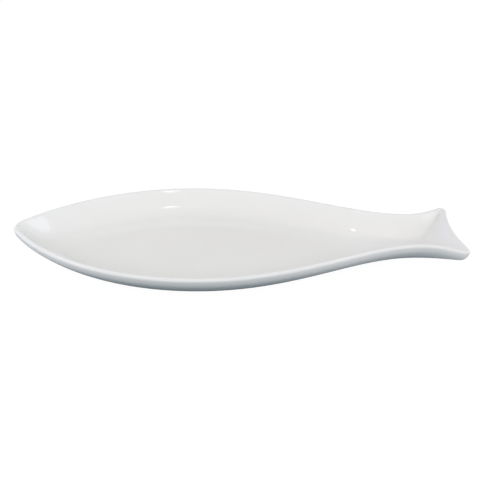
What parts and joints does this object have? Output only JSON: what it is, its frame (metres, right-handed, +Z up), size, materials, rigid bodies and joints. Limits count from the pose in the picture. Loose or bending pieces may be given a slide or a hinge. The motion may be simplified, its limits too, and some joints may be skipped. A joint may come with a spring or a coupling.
{
  "type": "fish shaped platter",
  "caption": "Shallow fish shaped serving platter of white glazed porcelain, with a flat floored well, a round rim, a narrow waist and a flared tail, standing on a low bare foot ring.",
  "frame": {"origin": "on the table, under the middle of the platter's length and width", "axes": "+X from the nose to the tail, +Y across the platter, +Z up out of the well"},
  "size_m": [0.398, 0.166, 0.0331],
  "materials": {
    "bare_porcelain": "vitrified, unglazed, matte",
    "white_glaze": "clear fired glaze over white porcelain, high gloss"
  },
  "bodies": {
    "root": {"porcelain_body": "bare_porcelain", "glaze_coat": "white_glaze", "base_glaze": "white_glaze"}
  },
  "joints": []
}
